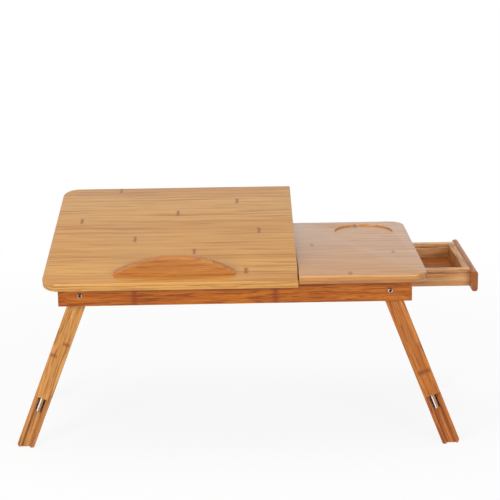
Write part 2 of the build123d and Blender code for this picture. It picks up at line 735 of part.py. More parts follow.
for side, row in pivots:
    name = f"{'left' if side < 0 else 'right'}_{'front' if row < 0 else 'rear'}"

    with BuildPart() as upper_leg:
        stop = (under_top - pivot_z) - 0.1
        corner = (side * half_leg, (stop - half_leg * sin(splay)) / cos(splay))
        crest = (side * stop * sin(splay), stop * cos(splay))
        shoulder = (-side * half_leg, sqrt(stop**2 - half_leg**2))
        arc_point = (side * stop * sin(splay - 0.45), stop * cos(splay - 0.45))
        with BuildSketch(leg_front(side, row, 0)):
            with BuildLine():
                Polyline(crest, corner, (side * half_leg, -upper_reach), (-side * half_leg, -upper_reach), shoulder)
                ThreePointArc(shoulder, arc_point, crest)
            make_face()
            bar_hole(bolt_radius + running, mode=Mode.SUBTRACT)
        extrude(amount=row * upper_plate)
        with BuildSketch(leg_front(side, row, upper_plate)):
            with BuildLine():
                Polyline(crest, corner, (side * half_leg, -block_end), (-side * half_leg, -block_end), shoulder)
                ThreePointArc(shoulder, arc_point, crest)
            make_face()
            bar_hole(bolt_radius + running, mode=Mode.SUBTRACT)
        extrude(amount=row * (leg_thickness - upper_plate))
        with BuildSketch(leg_cut(side, row, block_end)):
            Polygon(*dovetail_outline(row, upper_plate, tongue_depth, tongue_width), align=None)
        extrude(amount=tongue_end - block_end)
        with BuildSketch(leg_front(side, row, upper_plate)):
            with Locations((0, -latch_pin_at)):
                Rectangle(latch_width + 0.6, 12)
        extrude(amount=row * (tongue_depth + 1), mode=Mode.SUBTRACT)
        with BuildSketch(leg_section(side, row)):
            with Locations((latch_pin_depth, -latch_pin_at)):
                bar_hole(latch_pin_radius)
        extrude(amount=half_leg - 3, both=True, mode=Mode.SUBTRACT)
    save(upper_leg, f"{name}_upper_leg")

    with BuildPart() as lower_leg:
        with BuildSketch(leg_front(side, row, channel_start)) as outline:
            with BuildLine():
                Polyline((side * half_leg, -lower_top), (side * half_leg, floor_line(half_leg)),
                         (-side * half_leg, floor_line(-half_leg)), (-side * half_leg, -lower_top), close=True)
            make_face()
            fillet(outline.vertices().sort_by(Axis.Y)[0], foot_outer_round)
            fillet(outline.vertices().sort_by_distance((-side * half_leg, floor_line(-half_leg)))[0],
                   foot_inner_round)
        extrude(amount=row * (leg_thickness - channel_start))
        with BuildSketch(leg_cut(side, row, lower_top)):
            Polygon(*dovetail_outline(row, channel_start, channel_depth, tongue_width + 2 * slide_gap + 0.2),
                    align=None)
        extrude(amount=leg_reach, mode=Mode.SUBTRACT)
        with BuildSketch(leg_front(side, row, channel_floor - 0.5)):
            with Locations((0, -(slot_top + slot_bottom) / 2)):
                SlotOverall(slot_bottom - slot_top, slot_width, rotation=90)
        extrude(amount=row * (web + 1), mode=Mode.SUBTRACT)
        with BuildSketch(leg_front(side, row, channel_floor - 0.5)):
            with Locations(*[(0, -reach) for reach in notches]):
                Rectangle(tongue_width, notch_length)
        extrude(amount=row * (notch_depth + 0.5), mode=Mode.SUBTRACT)
    save(lower_leg, f"{name}_lower_leg")

    with BuildPart() as latch:
        strip_depth = channel_floor - latch_rest - latch_sheet
        with BuildSketch(leg_section(side, row)):
            with Locations((latch_pin_depth, -latch_pin_at)):
                bar(latch_pin_radius + 0.9)
            with Locations((strip_depth + latch_sheet / 2, -(latch_pin_at + latch_ears_at + 2) / 2)):
                Rectangle(latch_sheet, latch_ears_at + 2 - latch_pin_at)
            with Locations((latch_pin_depth, -latch_pin_at)):
                bar_hole(latch_pin_radius + running, mode=Mode.SUBTRACT)
        extrude(amount=latch_width / 2, both=True)
        with BuildSketch(leg_section(side, row)):
            with Locations((strip_depth + latch_sheet / 2, -latch_ears_at)):
                Rectangle(latch_sheet, notch_length - 0.5)
        extrude(amount=tongue_width / 2 - 0.5, both=True)
        with BuildSketch(leg_cut(side, row, latch_ears_at + 1)):
            with BuildLine():
                outer_rim, inner_rim = latch_width / 2, latch_width / 2 - latch_sheet
                base = row * (channel_floor - latch_rest)
                rise = -row * latch_rise
                Polyline((-inner_rim, base), (-outer_rim, base))
                ThreePointArc((-outer_rim, base), (0, base + rise), (outer_rim, base))
                Polyline((outer_rim, base), (inner_rim, base))
                ThreePointArc((inner_rim, base), (0, base + rise * 0.65), (-inner_rim, base))
            make_face()
        extrude(amount=latch_end - latch_ears_at - 1)
    save(latch, f"{name}_latch")

    with BuildPart() as latch_pin:
        with BuildSketch(leg_section(side, row)):
            with Locations((latch_pin_depth, -latch_pin_at)):
                bar(latch_pin_radius)
        extrude(amount=tongue_width / 2 - 0.9, both=True)
    save(latch_pin, f"{name}_latch_pin")
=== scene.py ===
"""Looks of a folding bamboo laptop stand with a drawer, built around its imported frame.

Lengths are metres in the frame's own axes: +X towards the drawer, -Y to the front, floor at Z = 0.
"""
import json
from math import cos, radians, sin

import bmesh
import bpy
from mathutils import Matrix, Vector

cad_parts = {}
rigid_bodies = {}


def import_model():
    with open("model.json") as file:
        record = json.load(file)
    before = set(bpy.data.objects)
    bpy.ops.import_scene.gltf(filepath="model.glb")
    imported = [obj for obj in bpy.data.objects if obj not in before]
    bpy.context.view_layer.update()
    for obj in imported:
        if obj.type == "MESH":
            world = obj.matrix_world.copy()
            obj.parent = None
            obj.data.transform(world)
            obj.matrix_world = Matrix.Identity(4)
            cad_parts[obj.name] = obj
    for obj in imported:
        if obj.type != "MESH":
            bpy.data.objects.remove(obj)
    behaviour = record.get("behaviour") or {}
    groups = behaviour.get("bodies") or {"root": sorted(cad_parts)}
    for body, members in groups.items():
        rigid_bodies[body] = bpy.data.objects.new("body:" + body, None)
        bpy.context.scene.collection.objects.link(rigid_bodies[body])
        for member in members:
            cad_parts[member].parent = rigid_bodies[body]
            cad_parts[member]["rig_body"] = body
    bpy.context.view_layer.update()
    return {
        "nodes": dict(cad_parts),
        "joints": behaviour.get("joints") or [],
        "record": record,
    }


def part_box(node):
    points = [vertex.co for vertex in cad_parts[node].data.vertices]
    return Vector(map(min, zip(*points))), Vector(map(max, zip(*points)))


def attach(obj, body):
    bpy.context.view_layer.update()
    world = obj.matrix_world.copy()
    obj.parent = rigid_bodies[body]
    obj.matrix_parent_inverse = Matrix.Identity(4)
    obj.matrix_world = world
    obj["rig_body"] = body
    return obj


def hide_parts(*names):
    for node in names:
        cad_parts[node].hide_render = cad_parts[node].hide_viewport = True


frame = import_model()
nodes = frame["nodes"]
joints = {joint["name"]: joint for joint in frame["joints"]}
MM = 0.001

# ---------------------------------------------------------------- places taken from the frame
LEG_NAMES = ("left_front", "left_rear", "right_front", "right_rear")
PANEL_TILT = -radians(joints["tilt"]["range_deg"][0])
PANEL_HINGE = Vector(joints["tilt"]["pos_m"])
UP_PANEL = Vector((0, -sin(PANEL_TILT), cos(PANEL_TILT)))
BACK_PANEL = Vector((0, cos(PANEL_TILT), sin(PANEL_TILT)))


# ---------------------------------------------------------------- materials: a small language for shader nodes
class Ink:
    """A socket of a material. Arithmetic on it adds Math nodes."""

    def __init__(self, finish, socket):
        self.finish, self.socket = finish, socket

    def math(self, operation, *others):
        return self.finish.node("Math", {"operation": operation}, [self, *others])

    def __add__(self, other):
        return self.math("ADD", other)

    def __sub__(self, other):
        return self.math("SUBTRACT", other)

    def __mul__(self, other):
        return self.math("MULTIPLY", other)

    def __rsub__(self, other):
        return self.finish.node("Math", {"operation": "SUBTRACT"}, [other, self])

    __radd__ = __add__
    __rmul__ = __mul__

    def floor(self):
        return self.math("FLOOR")

    def fract(self):
        return self.math("FRACT")

    def size(self):
        return self.math("ABSOLUTE")

    def ramp(self, start, end, low=0.0, high=1.0):
        """Smoothly from low at start to high at end, and level outside."""
        return self.finish.node("MapRange", {"interpolation_type": "SMOOTHSTEP"}, [self, start, end, low, high])


class Finish:
    """One material while its nodes are put together."""

    def __init__(self, name):
        self.material = bpy.data.materials.new(name)
        self.material.use_nodes = True
        self.tree = self.material.node_tree
        self.shader = self.tree.nodes["Principled BSDF"]

    def node(self, kind, settings=None, sockets=(), output=0):
        """Add a node: its settings first, then values or links for its sockets."""
        made = self.tree.nodes.new("ShaderNode" + kind)
        for key, value in (settings or {}).items():
            setattr(made, key, value)
        pairs = sockets.items() if isinstance(sockets, dict) else enumerate(sockets)
        for key, value in pairs:
            if isinstance(value, Ink):
                self.tree.links.new(value.socket, made.inputs[key])
            else:
                made.inputs[key].default_value = value
        return Ink(self, made.outputs[output])

    def mix(self, factor, first, second):
        """Mix two colours, given as colours or as sockets."""
        first, second = (c if isinstance(c, Ink) else (*c, 1.0) for c in (first, second))
        return self.node("Mix", {"data_type": "RGBA"}, {0: factor, 6: first, 7: second}, 2)

    def place(self, turn=(0, 0, 0), shift=(0, 0, 0)):
        """Object coordinates in millimetres, turned and shifted, as separate numbers."""
        where = self.node("TexCoord", output="Object")
        where = self.node("Mapping", {}, {"Vector": where, "Rotation": turn, "Location": shift})
        return tuple(self.node("SeparateXYZ", {}, [where], axis) * (1 / MM) for axis in "XYZ")

    def noise(self, x, y, z, detail=2.0, roughness=0.5):
        where = self.node("CombineXYZ", {}, [x, y, z])
        return self.node("TexNoise", {}, {"Vector": where, "Scale": 1.0, "Detail": detail, "Roughness": roughness})

    def lottery(self, x, y, z):
        """Two numbers between 0 and 1, drawn afresh for each whole x, y and z."""
        where = self.node("CombineXYZ", {}, [x, y, z])
        drawn = self.node("TexWhiteNoise", {"noise_dimensions": "3D"}, {"Vector": where}, "Color")
        return tuple(self.node("SeparateColor", {}, [drawn], part) for part in ("Red", "Green"))

    def set(self, **sockets):
        """Give the main shader its values and links, by socket name with _ for a space."""
        for key, value in sockets.items():
            socket = self.shader.inputs[key.replace("_", " ")]
            if isinstance(value, Ink):
                self.tree.links.new(value.socket, socket)
            else:
                socket.default_value = value
        return self.material


def srgb(red, green, blue):
    """A colour as a screen shows it, from 0 to 255, turned into the shader's linear values."""
    return tuple((c / 255 / 12.92) if c < 11 else ((c / 255 + 0.055) / 1.055) ** 2.4 for c in (red, green, blue))


# ---------------------------------------------------------------- bamboo
class Tone:
    """Colours of one batch of bamboo: pale and deep stripes, dark fibres, knuckles and end grain."""

    def __init__(self, pale, deep, fibre, knuckle):
        self.pale, self.deep, self.fibre, self.knuckle = srgb(*pale), srgb(*deep), srgb(*fibre), srgb(*knuckle)


TOP_TONE = Tone((196, 139, 72), (171, 112, 52), (128, 72, 28), (122, 64, 22))
GOLD_TONE = Tone((206, 154, 84), (183, 125, 57), (138, 80, 32), (132, 70, 26))
LEDGE_TONE = Tone((191, 128, 62), (163, 98, 41), (127, 69, 28), (118, 62, 26))
FRAME_TONE = Tone((217, 130, 33), (172, 87, 15), (121, 54, 6), (127, 52, 9))
LEFT_LEG_TONE = Tone((206, 150, 83), (175, 114, 53), (133, 77, 31), (137, 73, 33))
LEFT_FOOT_TONE = Tone((197, 138, 79), (167, 104, 50), (126, 70, 29), (130, 66, 31))
RIGHT_FOOT_TONE = Tone((192, 116, 54), (158, 86, 32), (113, 54, 17), (108, 47, 15))
RIGHT_LEG_TONE = Tone((200, 126, 57), (165, 94, 35), (119, 60, 19), (113, 52, 17))
# the drawer's sides are paler than its other boards: painted light that makes up for the shade of the panel over them
DRAWER_TONE = Tone((240, 190, 132), (200, 146, 92), (152, 96, 52), (150, 92, 48))
DRAWER_FACE_TONE = Tone((190, 122, 62), (146, 82, 34), (104, 52, 18), (100, 50, 18))
INSIDE_TONE = Tone((222, 164, 98), (176, 116, 62), (122, 68, 30), (116, 64, 30))
FLOOR_TONE = Tone((187, 108, 36), (143, 73, 19), (102, 46, 9), (99, 44, 8))

ALONG_X = ((1, 0, 0), (0, 1, 0))
ALONG_X_UPRIGHT = ((1, 0, 0), (0, 0, 1))
ALONG_Y_UPRIGHT = ((0, 1, 0), (0, 0, 1))


def grain(axes, origin):
    """Turn and shift that bring a board's own axes to X along the fibres, Y across the strips and Z through it."""
    along, across = (Vector(axis) for axis in axes)
    turn = Matrix((along, across, along.cross(across)))
    return turn.to_euler(), -(turn @ Vector(origin))


# pitch of each layer of grain, in turns of noise per millimetre along the fibres and across them
SWAY, BROAD, STREAK, FIBRE, FLAME = (0.010, 0.03), (0.007, 0.16), (0.014, 0.55), (0.060, 1.9), (0.022, 0.33)
SWAY_REACH = 9.0
PORES, PORE_SHADES = (0.3, 1.6), (0.4, 0.65)
STRIP_SHIFT, SEED_SHIFT, SEED_STEP = 400.0, 31.0, 0.37
# how much each layer counts in the tone, and where its dark lines start, are full and how deep they are
DRAW_WEIGHT, BROAD_WEIGHT, STREAK_WEIGHT, FIBRE_WEIGHT = 0.5, 1.8, 2.3, 1.6
STREAK_LINES, FIBRE_LINES, FLAME_LINES = (0.54, 0.62, 0.55), (0.58, 0.68, 0.45), (0.55, 0.63, 0.5)
# how far the painted shade band under the panel darkens towards the knuckle tone
PAINTED_SHADE_DEPTH = 0.85
# half width in millimetres of the seams between strips and plies, and how dark they are
STRIP_SEAM, PLY_SEAM = 0.35, 0.5
SEAM_DEPTH, FACE_SEAM_DEPTH = 0.45, 0.7
# knuckles: bend, wander and ring in millimetres, then the shares of the halo, its patches and its fading ends
KNUCKLE_BOW, KNUCKLE_WANDER, KNUCKLE_RING = 0.5, 1.6, (0.3, 1.2, 0.5, 0.0)
HALO_HEART, HALO_PATCHES, KNUCKLE_ENDS, DARKEST_KNUCKLE = 0.2, (0.35, 0.60, 0.3, 0.75), (0.7, 1.1, 1.0, 0.0), 0.9
END_GRAIN = (0.75, 0.95, 0.0, 0.7)
WOOD_BUMP, WOOD_RELIEF, GLOSS_SPREAD, VARNISH_ROUGHNESS = 0.35, 0.15 * MM, 0.3, 0.2


def bamboo(name, tone, axes, origin, seed, strip=18.0, ply=4.0, knuckles=(), contrast=1.0, length=1.0,
           face_lift=0.0, painted_shade_band=None, varnish=0.1, roughness=0.42, specular=0.25):
    """Pressed bamboo: strips with tones of their own, wavy streaks, fine fibres, knuckles and end grain.

    seed gives each board its own draws, strip and ply are the strips' width and thickness, and length stretches
    the streaks. Knuckles are given by their place along and across the board, half length and half width.
    face_lift makes each higher ply paler, and painted_shade_band, as (edge, width), darkens a band that ends at the
    edge: painted shade, as under an overhang.
    Sizes are in millimetres.
    """
    wood = Finish(name)
    turn, shift = grain(axes, origin)
    u, v, w = wood.place(turn, shift)
    strip_at, ply_at = v * (1 / strip) + SEED_STEP * seed, w * (1 / ply)
    tone_draw, shift_draw = wood.lottery(strip_at.floor(), ply_at.floor(), seed)

    def layer(along, aside, pitch, **more):
        return wood.noise(along * pitch[0], aside * pitch[1], w * pitch[1], **more)

    def dark_lines(noise, limits):
        start, full, depth = limits
        return noise.ramp(start, full, 0.0, depth * contrast)

    slid = (u + shift_draw * STRIP_SHIFT + seed * SEED_SHIFT) * (1 / length)
    sway = (wood.noise(u * SWAY[0] + seed, v * SWAY[1], w * SWAY[1]) - 0.5) * SWAY_REACH
    broad = layer(slid, v + sway, BROAD)
    streak = layer(slid, v + sway, STREAK, detail=3.0, roughness=0.6)
    fibres = layer(slid, v, FIBRE, detail=3.0, roughness=0.6)
    flame = layer(slid, v + sway, FLAME, detail=1.0)
    blend = ((tone_draw - 0.5) * DRAW_WEIGHT + (broad - 0.5) * (BROAD_WEIGHT * contrast)
             + (streak - 0.5) * (STREAK_WEIGHT * contrast) + (fibres - 0.5) * (FIBRE_WEIGHT * contrast) + 0.5)
    if face_lift:
        blend = blend + ply_at.floor() * face_lift
    colour = wood.mix(blend.ramp(-0.1, 1.1), tone.deep, tone.pale)
    lines = dark_lines(streak, STREAK_LINES) + dark_lines(fibres, FIBRE_LINES) + dark_lines(flame, FLAME_LINES)
    colour = wood.mix(lines, colour, tone.fibre)
    # painted shade: a darker band that ends at the given edge, standing for the shade under the panel's overhang
    if painted_shade_band:
        edge, width = painted_shade_band
        colour = wood.mix(v.ramp(edge - width, edge, 0.0, PAINTED_SHADE_DEPTH), colour, tone.knuckle)

    seam = (strip_at.fract() - 0.5).size().ramp(0.5 - STRIP_SEAM / strip, 0.5, 0.0, SEAM_DEPTH)
    ply_seam = (ply_at.fract() - 0.5).size().ramp(0.5 - PLY_SEAM / ply, 0.5, 0.0,
                                                  FACE_SEAM_DEPTH if face_lift else SEAM_DEPTH)
    colour = wood.mix(seam.math("MAXIMUM", ply_seam), colour, tone.fibre)

    for at_u, at_v, half_length, half_width in knuckles:
        off = (v - at_v) * (1 / half_width)
        away = (u - at_u + off * off * KNUCKLE_BOW + (streak - 0.5) * KNUCKLE_WANDER).size()
        halo, ring = away.ramp(half_length * HALO_HEART, half_length, 1.0, 0.0), away.ramp(*KNUCKLE_RING)
        patchy = (halo * streak.ramp(*HALO_PATCHES) + ring) * off.size().ramp(*KNUCKLE_ENDS)
        colour = wood.mix(patchy.math("MINIMUM", DARKEST_KNUCKLE), colour, tone.knuckle)

    facing = wood.node("TexCoord", output="Normal")
    facing = wood.node("Mapping", {"vector_type": "NORMAL"}, {"Vector": facing, "Rotation": turn})
    cut_end = wood.node("SeparateXYZ", {}, [facing]).size().ramp(*END_GRAIN)
    pores = layer(u, v, PORES)
    colour = wood.mix(cut_end, colour, wood.mix(pores.ramp(*PORE_SHADES), tone.knuckle, tone.deep))
    relief = fibres * 0.5 + streak * 0.5 - seam
    bump = wood.node("Bump", {}, {"Strength": WOOD_BUMP, "Distance": WOOD_RELIEF, "Height": relief})
    return wood.set(Base_Color=colour, Roughness=roughness + (streak - 0.5) * GLOSS_SPREAD, Normal=bump,
                    Specular_IOR_Level=specular, Coat_Weight=varnish, Coat_Roughness=VARNISH_ROUGHNESS)


def panel_middle(up):
    """A place on the tilting panel at X = 0, in line with its hinge and so many millimetres above it."""
    return Vector((0, PANEL_HINGE.y, PANEL_HINGE.z)) + UP_PANEL * (up * MM)


# ---------------------------------------------------------------- metal and plastic
WORN = 0.12
PLATE_BUMP, PLATE_RELIEF = 0.15, 0.05 * MM


def metal(name, tint, roughness, brushed=0.0):
    """Plated metal with faint scuffs, brushed along X where brushed is above 0."""
    plate = Finish(name)
    x, y, z = plate.place()
    scuffs = plate.noise(x * 0.6, y * 0.6, z * 0.6, detail=4.0, roughness=0.7)
    lines = plate.noise(x * 0.3, y * 9.0, z * 9.0, detail=2.0)
    colour = plate.mix(scuffs.ramp(0.45, 0.75), tint, tuple(c * (1 - WORN) for c in tint))
    relief = scuffs + lines * brushed
    bump = plate.node("Bump", {}, {"Strength": PLATE_BUMP, "Distance": PLATE_RELIEF, "Height": relief})
    return plate.set(Base_Color=colour, Metallic=1.0, Normal=bump,
                     Roughness=roughness + (scuffs - 0.5) * 0.2 + (lines - 0.5) * (0.3 * brushed))


# where across the lever its painted highlight lies, and how far from that it starts and has faded, in millimetres
HIGHLIGHT_LINE, HIGHLIGHT_FULL, HIGHLIGHT_GONE = -1.75, 0.55, 1.05


def latch_metal(name, turn, shift):
    """Nickel tinted brown as a painted reflection of the wood around it, with a painted highlight in one line along
    the lever's edge.
    """
    plate = Finish(name)
    along, aside, _ = plate.place(turn, shift)
    scuffs = plate.noise(along * 0.4, aside * 1.5, 0.0, detail=3.0, roughness=0.6)
    # painted highlight: a near-white, less metallic line along one edge of the lever
    painted_highlight = (aside - HIGHLIGHT_LINE + (scuffs - 0.5) * 0.6).size().ramp(HIGHLIGHT_FULL, HIGHLIGHT_GONE, 1.0, 0.0)
    # the brown tint is a painted reflection of the wood around the lever
    tint = plate.mix(scuffs.ramp(0.4, 0.7), srgb(176, 138, 112), srgb(142, 106, 82))
    bump = plate.node("Bump", {}, {"Strength": PLATE_BUMP, "Distance": PLATE_RELIEF, "Height": scuffs})
    return plate.set(Base_Color=plate.mix(painted_highlight, tint, srgb(252, 250, 246)), Metallic=1.0 - painted_highlight * 0.4,
                     Roughness=painted_highlight.ramp(0.0, 1.0, 0.24, 0.12) + (scuffs - 0.5) * 0.1, Normal=bump)


def plastic(name, tint, roughness):
    """Moulded plastic with a fine spark-eroded grain."""
    moulded = Finish(name)
    x, y, z = moulded.place()
    grain_noise = moulded.noise(x * 4.0, y * 4.0, z * 4.0, detail=2.0)
    cloud = moulded.noise(x * 0.15, y * 0.15, z * 0.15)
    colour = moulded.mix(cloud.ramp(0.3, 0.7), tint, tuple(c * 1.35 for c in tint))
    bump = moulded.node("Bump", {}, {"Strength": 0.3, "Distance": 0.08 * MM, "Height": grain_noise})
    return moulded.set(Base_Color=colour, Roughness=roughness + (cloud - 0.5) * 0.15, Normal=bump)


# ---------------------------------------------------------------- what each piece is made of
def dress(name, material):
    """Put a material on a carried-over piece."""
    slots = nodes[name].data.materials
    slots.clear()
    slots.append(material)


def low_corner(name):
    return tuple(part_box(name)[0])


def leg_axes(leg):
    """A leg's pivot, its way down and its way across, to the right as the front shows it."""
    pivot = Vector(joints[f"{leg}_leg_fold"]["pos_m"])
    down = Vector(joints[f"{leg}_leg_extend"]["axis"])
    return pivot, down, Vector((0, -1, 0)).cross(down)


TOP_STRIP, TOP_PLY, TOP_STREAKS = 20.0, 3.8, 2.6
PANEL_UNDERSIDE = 2.5
FIXED_KNUCKLES = ((138, -139, 5, 9), (205, -32, 4, 9), (96, 12, 4, 9), (166, 128, 4, 9))
TILTING_KNUCKLES = ((3, 8, 5, 9), (-66, 66, 4, 9), (-148, 106, 4, 9), (22, 128, 4, 9), (-226, 166, 4, 9),
                    (-92, 188, 4, 9), (-8, 226, 4, 9), (-178, 268, 4, 9))
dress("fixed_panel", bamboo(
    "bamboo_fixed_panel", TOP_TONE, ALONG_X, (0, 0, low_corner("fixed_panel")[2]), 3, strip=TOP_STRIP, ply=TOP_PLY,
    knuckles=FIXED_KNUCKLES, contrast=0.7, length=TOP_STREAKS, face_lift=0.16, varnish=0.45, specular=0.4,
    roughness=0.38))
dress("tilting_panel", bamboo(
    "bamboo_tilting_panel", GOLD_TONE, ((1, 0, 0), BACK_PANEL), panel_middle(PANEL_UNDERSIDE), 5, strip=TOP_STRIP,
    ply=TOP_PLY, knuckles=TILTING_KNUCKLES, contrast=0.75, length=TOP_STREAKS, face_lift=0.16, varnish=0.25))
dress("stop_ledge", bamboo("bamboo_ledge", LEDGE_TONE, ((1, 0, 0), UP_PANEL), panel_middle(0), 8, strip=30.0,
                           ply=12.0, contrast=0.8))

# the frame boards' height and the width of the painted shade under the panel, in millimetres
FRAME_HEIGHT, PAINTED_SHADE_WIDTH = 32, 6
for name, axes, seed, knuckles in (
    ("front_apron", ALONG_X_UPRIGHT, 11, ((100, 12, 7, 30), (285, 14, 8, 30))),
    ("rear_apron", ALONG_X_UPRIGHT, 12, ((180, 12, 8, 30), (390, 20, 8, 30))),
    ("left_side_board", ALONG_Y_UPRIGHT, 13, ((90, 10, 7, 30),)),
    ("right_side_board", ALONG_Y_UPRIGHT, 14, ((90, 10, 7, 30),)),
):
    dress(name, bamboo(f"bamboo_{name}", FRAME_TONE, axes, low_corner(name), seed, strip=40.0, ply=11.0, contrast=1.5,
                       painted_shade_band=(FRAME_HEIGHT, PAINTED_SHADE_WIDTH), knuckles=knuckles))
for name, axes, seed in (("front_inner_rail", ALONG_X_UPRIGHT, 15), ("rear_inner_rail", ALONG_X_UPRIGHT, 16),
                         ("drawer_runners", ALONG_X_UPRIGHT, 17), ("drawer_stop", ALONG_X_UPRIGHT, 18),
                         ("cross_rail", ALONG_Y_UPRIGHT, 19)):
    dress(name, bamboo(f"bamboo_{name}", FRAME_TONE, axes, low_corner(name), seed, strip=16.0, ply=10.0))

LEG_KNUCKLES = {
    "left_front_upper_leg": ((-78, 5.5, 4.0, 5), (-98, -5.5, 4.5, 5)),
    "right_front_upper_leg": ((-126, 1, 6, 9),),
}
LOWER_LEG_SEEDS = 40
for seed, leg in enumerate(LEG_NAMES, start=21):
    pivot, down, across = leg_axes(leg)
    tones = (LEFT_LEG_TONE, LEFT_FOOT_TONE) if leg.startswith("left") else (RIGHT_LEG_TONE, RIGHT_FOOT_TONE)
    for part, offset, tone in (("upper_leg", 0, tones[0]), ("lower_leg", LOWER_LEG_SEEDS, tones[1])):
        dress(f"{leg}_{part}", bamboo(f"bamboo_{leg}_{part}", tone, (-down, across), pivot, seed + offset, strip=11.5,
                                      ply=7.0, contrast=1.1, knuckles=LEG_KNUCKLES.get(f"{leg}_{part}", ())))

for name, tone, axes, seed in (
    ("drawer_front_side", DRAWER_TONE, ALONG_X_UPRIGHT, 31),
    ("drawer_rear_side", DRAWER_TONE, ALONG_X_UPRIGHT, 32),
    ("drawer_box_front", INSIDE_TONE, ALONG_Y_UPRIGHT, 33),
    ("drawer_back", INSIDE_TONE, ALONG_Y_UPRIGHT, 34),
    ("drawer_floor", FLOOR_TONE, ALONG_X, 35),
    ("drawer_front_panel", DRAWER_FACE_TONE, ALONG_Y_UPRIGHT, 36),
):
    dress(name, bamboo(f"bamboo_{name}", tone, axes, low_corner("drawer_front_side"), seed, strip=13.0, ply=9.5))

dowel_wood = bamboo("beech_dowels", TOP_TONE, ((0, 0, 1), (1, 0, 0)), (0, 0, 0), 51, strip=90.0, ply=90.0,
                    varnish=0.0, roughness=0.6)
# the latch nickel is tinted brown as a painted reflection of the wood around it
nickel = metal("nickel_bright", srgb(166, 132, 110), 0.20)
satin_nickel = metal("nickel_satin", srgb(196, 188, 176), 0.24)
# the recesses of the bolts and screws are made nearly black: painted shade in the hollows
socket_painted_shade = metal("painted_shade_socket", srgb(62, 54, 46), 0.55)
zinc = metal("zinc_plate", srgb(190, 190, 188), 0.36, brushed=0.5)
black = plastic("black_knobs", srgb(42, 41, 40), 0.5)
carried = {"nickel_latch": nickel, "nickel_fasteners": satin_nickel, "zinc_hardware": zinc, "black_plastic": black,
           "beech_dowel": dowel_wood}
for part in frame["record"]["subparts"]:
    if part["material_slot"] in carried and part["node"] != "drawer_runners":
        dress(part["node"], carried[part["material_slot"]])


# ---------------------------------------------------------------- finished shapes
SHARP, SHARP_METAL = radians(20), radians(28)
WELD, FLAT = 0.002 * MM, radians(0.3)
# the least turn of an arris, how far it is taken back and the shortest edge that is eased, in millimetres
ARRIS = radians(35)
EASED, EASED_LEG = 0.45, 0.35
SHORTEST_ON_TOPS, SHORTEST, SHORTEST_ON_LEG = 0.8, 7.0, 14.0


def keep(name, shape, body, material, stands_for=()):
    """Turn a bmesh in its place into a piece that rides on a body and may stand for carried-over ones."""
    mesh = bpy.data.meshes.new(name)
    for face in shape.faces:
        face.smooth = True
    shape.to_mesh(mesh)
    shape.free()
    mesh.set_sharp_from_angle(angle=SHARP)
    mesh.materials.append(material)
    piece = bpy.data.objects.new(name, mesh)
    bpy.context.scene.collection.objects.link(piece)
    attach(piece, body)
    if stands_for:
        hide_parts(*stands_for)


def material_slot(name):
    return next(part["material_slot"] for part in frame["record"]["subparts"] if part["node"] == name)


def shape_of(name):
    """A carried-over piece as a closed bmesh."""
    shape = bmesh.new()
    shape.from_mesh(nodes[name].data)
    bmesh.ops.remove_doubles(shape, verts=shape.verts, dist=WELD)
    bmesh.ops.dissolve_limit(shape, angle_limit=FLAT, verts=shape.verts, edges=shape.edges)
    return shape


def eased_board(name, ease, shortest, clamped):
    """A carried-over board again, with the arrises that a maker sands taken off."""
    shape = shape_of(name)
    arrises = [edge for edge in shape.edges if edge.is_convex and edge.calc_length() > shortest * MM
               and edge.calc_face_angle(0.0) > ARRIS]
    bmesh.ops.bevel(shape, geom=arrises, offset=ease * MM, offset_type="OFFSET", segments=2, profile=0.5,
                    affect="EDGES", clamp_overlap=clamped)
    keep(f"{name}_eased", shape, nodes[name]["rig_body"], nodes[name].data.materials[0], (name,))


for name in [name for name in nodes if material_slot(name).startswith("bamboo")]:
    if name.endswith("lower_leg"):
        eased_board(name, EASED_LEG, SHORTEST_ON_LEG, clamped=False)
    else:
        shaped = name.endswith("panel") or name == "stop_ledge"
        eased_board(name, EASED, SHORTEST_ON_TOPS if shaped else SHORTEST, clamped=True)


# the lever's flat end below its leg's pivot, the rounding's radius and half the lever's width, in millimetres
TAB_END, TAB_ROUND, TAB_HALF, NEAR_END = 181.5, 4.1, 3.85, 0.5


def formed_latch(leg, pivot, down, across):
    """The latch lever with the rounded thumb end that the flat-cut one lacks."""
    shape = shape_of(f"{leg}_latch")
    flat = (TAB_ROUND ** 2 - TAB_HALF ** 2) ** 0.5
    for vert in shape.verts:
        along, aside = (vert.co - pivot).dot(down) / MM, min(abs((vert.co - pivot).dot(across)) / MM, TAB_HALF)
        if along > TAB_END - NEAR_END:
            vert.co += down * (((TAB_ROUND ** 2 - aside ** 2) ** 0.5 - flat) * MM)
    finish = latch_metal(f"nickel_{leg}_latch", *grain((-down, across), pivot))
    keep(f"{leg}_latch_formed", shape, f"{leg}_latch", finish, (f"{leg}_latch",))


# the slot's ends below the pivot, half its width and the veneer's thickness, in millimetres
SLOT_TOP, SLOT_BOTTOM, SLOT_HALF, LINING = 42.9, 185.4, 4.65, 0.4
ROUND_STEPS = 12


